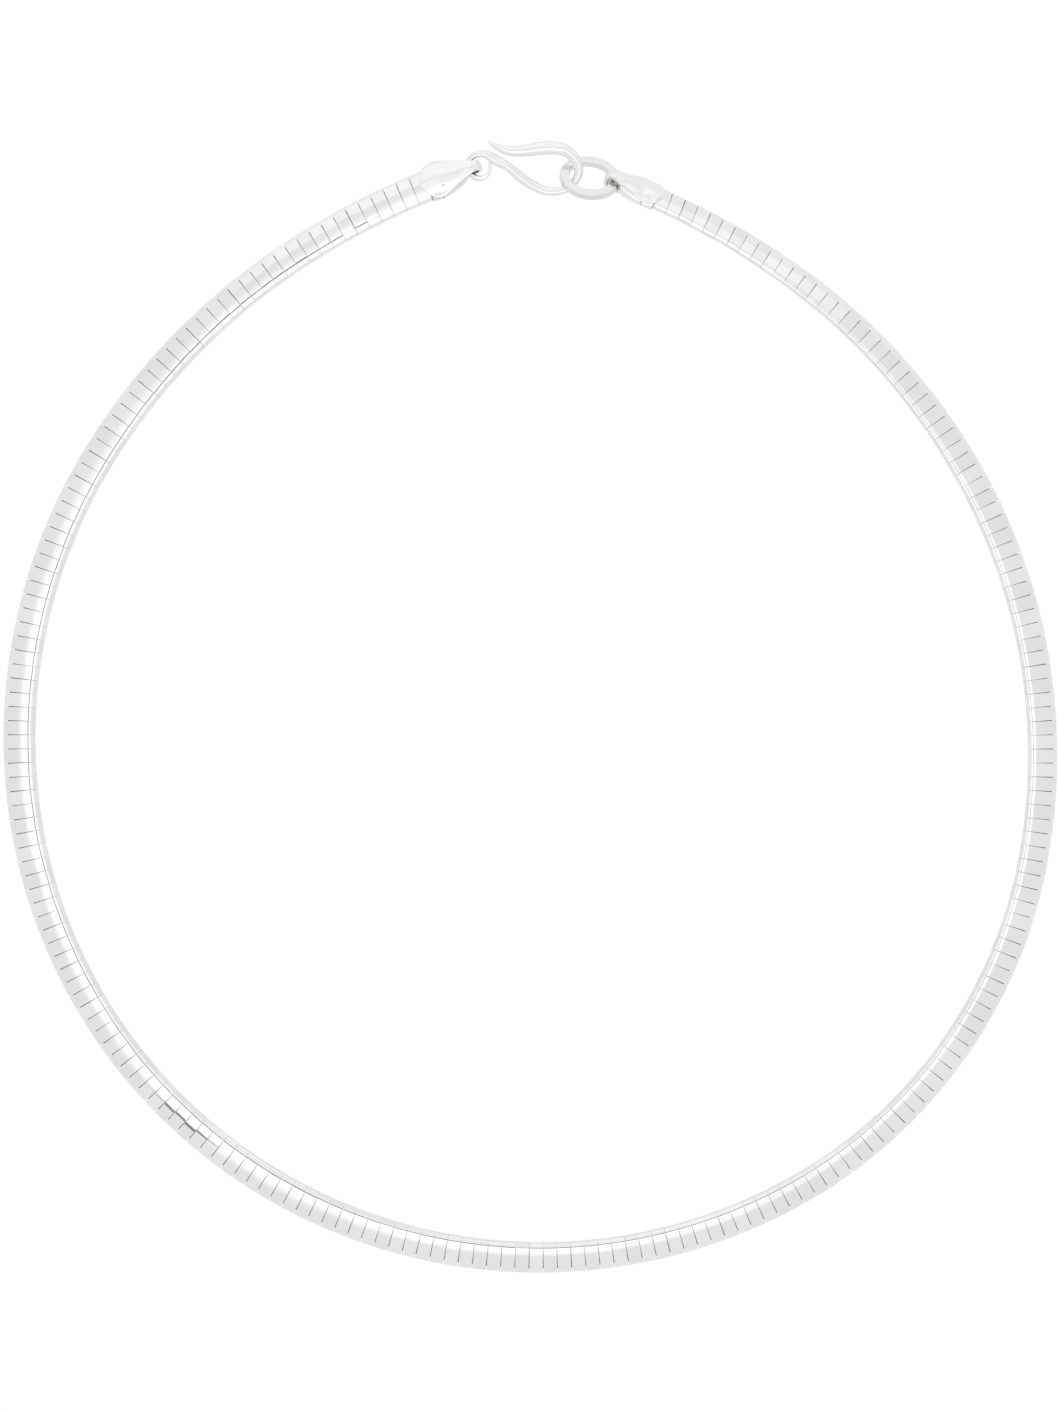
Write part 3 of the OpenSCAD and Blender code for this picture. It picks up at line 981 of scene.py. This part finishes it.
    @staticmethod
    def rounded(corners, radius, steps=4):
        """A path through corners, each cut off by a small curve that takes less than half of either side."""
        path, most = [corners[0]], 0.45
        for before, corner, after in zip(corners, corners[1:], corners[2:]):
            ends = []
            for other in (before, after):
                run = math.hypot(other[0] - corner[0], other[1] - corner[1])
                reach = min(radius, run * most) / run
                ends.append([c + (o - c) * reach for c, o in zip(corner, other)])
            for k in range(steps + 1):
                t = k / steps
                path.append([
                    (1 - t) ** 2 * a + 2 * t * (1 - t) * c + t * t * b
                    for a, c, b in zip(ends[0], corner, ends[1])
                ])
        path.append(corners[-1])
        return path

    def shell(self, cap, end, span, points, faces, film):
        """A part of the folded back: side walls, slopes that lean in, and the flat of the back."""
        # In mm: the wear on its open ends, the radius of its folds, and how far its walls are tucked under
        # the leaf's face and behind the leaf's rim
        worn, fold, tucked, behind_rim = 0.07, 0.3, 0.17, 0.05
        # The slopes' distance from the middle, the sine and cosine of the 38 degrees at which they lean in,
        # and their least height
        slope_reach, slope_sine, slope_cosine, slope_least = 1.58, 0.616, 0.788, 0.1
        # Half the flat of the back at most, and how far it is inside the wall at least
        flat_most, flat_inside = 1.29, 0.16
        # The back comes up at the neck, so far and between these places
        raised, rises = 0.4, (4.3, 5.1)
        at_hook, (x0, x1), steps, bend = end["at_hook"], span, 12, MIDDLE_OF_EDGE * worn
        # From one open end to the other: place, and how far the worn end is drawn in
        stations = [(x0, worn), (x0 + bend, bend), (x0 + worn, 0.0)]
        stations += [(x0 + (x1 - x0) * (k + 0.5) / steps, 0.0) for k in range(steps)]
        stations += [(x1 - worn, 0.0), (x1 - bend, bend), (x1, worn)]
        base = len(points)
        for x, inset in stations:
            # The wall stands out from under the leaf only on the collar's inner side
            wall = between_rows(WALLS, x, "half") - inset
            hidden = min(wall, between_rows(LEAF, x, "half") - behind_rim - inset)
            left, right = (wall, hidden) if at_hook else (hidden, wall)
            edge = self.face(cap, x, -wall if at_hook else wall, 1.0, between_rows(LEAF, x, "fall"), at_hook)
            top = edge - tucked
            low = -cap.back / MM + raised * ease(x, *rises) + inset
            knee = max(low + slope_least, -(slope_reach - slope_sine * wall) / slope_cosine)
            flat = min(flat_most, hidden - flat_inside)
            corners = [(right, top), (right, knee), (flat, low), (-flat, low), (-left, knee), (-left, top)]
            points.extend((x, y, z) for y, z in self.rounded(corners, fold))
        # The whole folded back is darkened by its cap's painted shade
        film.extend([end["film"]] * (len(points) - base))
        count = (len(points) - base) // len(stations)
        faces.extend(skin(len(stations), count, base))
        faces.append(tuple(range(base + count - 1, base - 1, -1)))
        faces.append(tuple(range(len(points) - count, len(points))))


class NECKLACE_OT_hook(bpy.types.Operator):
    """Make the hook of one wire: a closed eye, a bent shank and a point, forged flat where it is wide."""

    bl_idname = "necklace.hook"
    bl_label = "Forged hook"

    # The eye's centre and the wire's least half width, in mm
    eye_place, least = (-6.06, 65.72, 1.56), 0.04
    # The wire's last three points at each end are drawn in to these shares of its width
    drawn_in = (0.62, 0.86, 0.96)
    # How square the wire is on its underside and on its face: 2 is an ellipse
    back_power, face_power = 2.5, 4
    # The mean slope of the two hammered flats, how far each differs from it, and how soft their ridge is
    flat_slope, differs, ridge_soft = 0.3, 0.13, 0.05
    # The face stays above this share of the thickness, and the painted shade at the wire's edges is this
    # strong
    least_face, edge_film = 0.12, 0.8
    # Points from one row of the tables to the next, and from one of the wire's edges to the other
    steps, lines = 7, 22

    def execute(self, context):
        _, _, clasp, finish, _ = settings(context)
        place = Matrix.Translation(self.eye_place) @ Matrix.Rotation(-clasp.hook_slope, 4, "Y")
        line = self.middle_line(clasp)
        across = [math.cos(math.pi * k / self.lines) for k in range(self.lines + 1)]
        points, film = [], []
        for k, (x, y, width, ridge) in enumerate(line):
            nx, ny = left_of(line, k)
            half, from_end = max(width / 2, self.least), min(k, len(line) - 1 - k)
            if from_end < len(self.drawn_in):
                half *= self.drawn_in[from_end]
            thick = min(half, clasp.forged / MM / 2)
            ring = [(u, self.face(u, ridge, half, thick, ny)) for u in across]
            ring += [(u, -power_curve(u, 1, thick, self.back_power)) for u in reversed(across[1:-1])]
            for u, v in ring:
                points.append(place @ Vector((x + nx * u * half, y + ny * u * half, v)))
                # Painted shade, strongest at the wire's edges
                film.append(self.edge_film * abs(u) ** 4)
        count = len(ring)
        faces = skin(len(line), count)
        faces.append(tuple(range(count - 1, -1, -1)))
        faces.append(tuple(range(len(points) - count, len(points))))
        new_piece("s_hook_forged", points, faces, forged_silver(finish), "s_hook",
                  numbers=film)
        return {"FINISHED"}

    def middle_line(self, clasp):
        """The wire's middle, from inside the eye to the tip: x, y, width and ridge."""
        radius, wire = clasp.eye_radius / MM, clasp.eye_wire / MM
        rows = []
        for row in EYE:
            angle, away = math.radians(row["angle"]), radius * row["radius"]
            rows.append((away * math.cos(angle), away * math.sin(angle), wire * row["width"], EYE_RIDGE))
        rows += [(row["x"], row["y"], row["width"], row["ridge"]) for row in SHANK]
        return smooth_rows(rows, self.steps)

    def face(self, u, ridge, half, thick, ny):
        """Height of the hammered face: two flats that meet in a soft ridge, and rounded edges.

        The flat on the far side from the wearer's chest lies more level than the other.
        """
        far = ny if u > ridge else -ny
        slope = self.flat_slope - self.differs * far
        fall = slope * (math.hypot(u - ridge, self.ridge_soft) - self.ridge_soft) * half
        return max(self.least_face * thick, thick - fall) * power_curve(u, 1, 1, self.face_power)


class NECKLACE_OT_ring(bpy.types.Operator):
    """Make the ring that the hook passes through, flat on its face and rounded at its corners."""

    bl_idname = "necklace.ring"
    bl_label = "Clasp ring"

    # The ring's centre in mm and its turn, both in plan
    plan_place, turn = (7.12, 64.17), math.radians(-8.9)
    # Points round the wire and round the ring, and how round the wire is: 1 is an ellipse and 0 a rectangle
    sides, turns, roundness = 48, 144, 0.3
    # How much thinner the ring is worn, how uneven its edge is, and where on its face the painted edge shade
    # begins
    wear, uneven, edge_film = 0.012, 0.01, (0.85, 0.99)

    def execute(self, context):
        _, _, clasp, finish, _ = settings(context)
        radius, face, thick = clasp.ring_radius / MM, clasp.ring_face / MM / 2, clasp.ring_thickness / MM / 2
        section = []
        for k in range(self.sides):
            c, s = math.cos(2 * math.pi * k / self.sides), math.sin(2 * math.pi * k / self.sides)
            out, up = (math.copysign(abs(part) ** self.roundness, part) for part in (c, s))
            section.append((face * out, thick * up))
        reach = max(r * math.sin(clasp.ring_tilt) + z * math.cos(clasp.ring_tilt) for r, z in section)
        place = (
            Matrix.Translation((*self.plan_place, radius * math.sin(clasp.ring_tilt) + reach))
            @ Matrix.Rotation(self.turn, 4, "Z")
            @ Matrix.Rotation(-clasp.ring_tilt, 4, "X")
        )
        points, film = [], []
        for k in range(self.turns):
            a = 2 * math.pi * k / self.turns
            # Rubbing has worn the ring a little thinner where the hook pulls, and its edge isn't quite even
            worn = 1 - self.wear * (1 + math.cos(3 * a + 0.6)) - self.uneven * math.cos(5 * a)
            for r, z in section:
                out = radius + r * worn
                points.append(place @ Vector((out * math.cos(a), out * math.sin(a), z * worn)))
                # Painted shade on the edges of the ring's face
                film.append(ease(abs(r) / face, *self.edge_film))
        faces = skin(self.turns, self.sides, looped=True, inward=True)
        new_piece("clasp_ring_soldered", points, faces, forged_silver(finish), "clasp_ring",
                  numbers=film)
        return {"FINISHED"}


class NECKLACE_OT_stage(bpy.types.Operator):
    """Make the white table, the light tent with its softbox, panels and card, and the camera."""

    bl_idname = "necklace.stage"
    bl_label = "Studio"

    # The place in plan that the camera looks down on, in mm, and the height of the band's face, in metres
    aim, band_top = (-0.18, 0.12), 0.0012

    def execute(self, context):
        *_, stage = settings(context)
        self.panel("table", (0, 0, -0.02 * MM), half=(2, 2), material=lit_acrylic(stage.table), seen=True)
        self.tent(context.scene, stage)
        white = {"Color": (1.0, 1.0, 1.0, 1.0)}
        self.panel("softbox", (-0.058, -0.29, stage.softbox_height), half=(0.8, 0.8), material=soft_edged(
            "white nylon diffuser, lit", "ShaderNodeEmission", {**white, "Strength": stage.softbox},
            reach=(0.512, 0.49), fade=(0.16, 0.28),
        ))
        # Two panels behind the clasp, with a gap between them that the ring's cap mirrors
        for name, middle, half, height in (("back_panel", -0.35, 0.6, 1.26), ("side_panel", 0.8, 0.25, 0.9)):
            self.panel(name, (middle, 1.2, height), half=(half + 0.18, 1.3), material=soft_edged(
                "white nylon diffuser, lit from behind", "ShaderNodeEmission",
                {**white, "Strength": stage.back_panel}, reach=(half, 1.04), fade=(0.15, 0.2),
            ), upright=True)
        self.panel("card", (0.0686, -0.159, 0.26), half=(0.085, 0.085), material=soft_edged(
            "white card, lit", "ShaderNodeEmission", {**white, "Strength": stage.card},
            reach=(0.0687,), fade=(0.0137,),
        ))
        # The camera's own body, seen in the band as a thin dark line, and a stand's head at the same height
        beside = stage.camera_height + 0.03
        self.panel("camera_body", (0, 0, beside), half=(0.031, 0.049), material=soft_edged(
            "black enamel, matt", "ShaderNodeBsdfDiffuse", {"Color": linear("4A4A4C")},
            reach=(0.025, 0.043), fade=(0.005, 0.005),
        ))
        self.panel("stand_head", (-0.41, -0.46, beside), half=(0.058, 0.058), material=soft_edged(
            "dark grey enamel, matt", "ShaderNodeBsdfDiffuse", {"Color": linear("88888A")},
            reach=(0.044,), fade=(0.0125,),
        ))
        self.camera(context.scene, stage)
        context.scene.view_settings.view_transform = "Standard"
        context.scene.view_settings.look = "None"
        return {"FINISHED"}

    @staticmethod
    def panel(name, place, half, material, seen=False, upright=False):
        """A flat stage panel. All but the table are seen only in the silver."""
        x, y = half
        mesh = bpy.data.meshes.new(name)
        mesh.from_pydata([(-x, -y, 0), (x, -y, 0), (x, y, 0), (-x, y, 0)], [], [(0, 1, 2, 3)])
        mesh.materials.append(material)
        piece = bpy.data.objects.new(name, mesh)
        piece.location = place
        piece.rotation_euler.x = math.pi / 2 if upright else 0.0
        piece.visible_camera = seen
        bpy.context.scene.collection.objects.link(piece)

    @staticmethod
    def tent(scene, stage):
        """An even pale tent round the table."""
        world = bpy.data.worlds.new("light tent")
        scene.world = world
        world.use_nodes = True
        tree = world.node_tree
        tree.nodes.clear()
        place = add(tree, "ShaderNodeTexCoord")
        part = add(tree, "ShaderNodeSeparateXYZ", None, {"Vector": place.outputs["Generated"]})
        # A little brighter overhead than at its foot
        height = add(
            tree, "ShaderNodeMapRange", {"To Min": stage.room * 0.99, "To Max": stage.room * 1.01},
            {"Value": part.outputs["Z"]},
        )
        light = add(
            tree, "ShaderNodeBackground", {"Color": (1.0, 1.0, 1.0, 1.0)},
            {"Strength": height.outputs["Result"]},
        )
        add(tree, "ShaderNodeOutputWorld", None, {"Surface": light.outputs["Background"]})

    def camera(self, scene, stage):
        """A camera that looks straight down, with the lens that fits the frame at the band's face."""
        data = bpy.data.cameras.new("camera")
        data.sensor_width = 36.0
        data.lens = data.sensor_width * (stage.camera_height - self.band_top) / stage.frame_height
        data.clip_start = 0.01
        eye = bpy.data.objects.new("camera", data)
        eye.location = (self.aim[0] * MM, self.aim[1] * MM, stage.camera_height)
        scene.collection.objects.link(eye)
        scene.camera = eye


class NECKLACE_PT_collar(bpy.types.Panel):
    """Lists the necklace's pieces, sizes and colours."""

    bl_label = "Omega collar"
    bl_idname = "NECKLACE_PT_collar"
    bl_space_type = "VIEW_3D"
    bl_region_type = "UI"
    bl_category = "Necklace"

    def draw(self, context):
        for group, operators in zip(settings(context), PIECES):
            box = self.layout.box()
            for name in group.bl_rna.properties.keys():
                if name not in ("rna_type", "name"):
                    box.prop(group, name)
            for operator in operators:
                box.operator(operator)


PIECES = (
    ("necklace.plates", "necklace.core"),
    ("necklace.end_caps",),
    ("necklace.hook", "necklace.ring"),
    (),
    ("necklace.stage",),
)
GROUPS = {
    "collar_band": BandSettings,
    "collar_caps": CapSettings,
    "collar_clasp": ClaspSettings,
    "collar_finish": FinishSettings,
    "collar_stage": StageSettings,
}
CLASSES = (
    BandSettings, CapSettings, ClaspSettings, FinishSettings, StageSettings,
    NECKLACE_OT_plates, NECKLACE_OT_core, NECKLACE_OT_end_caps, NECKLACE_OT_hook, NECKLACE_OT_ring,
    NECKLACE_OT_stage, NECKLACE_PT_collar,
)


def register():
    for cls in CLASSES:
        bpy.utils.register_class(cls)
    for name, group in GROUPS.items():
        setattr(bpy.types.Scene, name, bpy.props.PointerProperty(type=group))


def unregister():
    for name in GROUPS:
        delattr(bpy.types.Scene, name)
    for cls in reversed(CLASSES):
        bpy.utils.unregister_class(cls)


def main():
    register()
    bpy.ops.necklace.stage()
    bpy.ops.necklace.plates()
    bpy.ops.necklace.core()
    bpy.ops.necklace.end_caps()
    bpy.ops.necklace.hook()
    bpy.ops.necklace.ring()


if __name__ == "__main__":
    main()
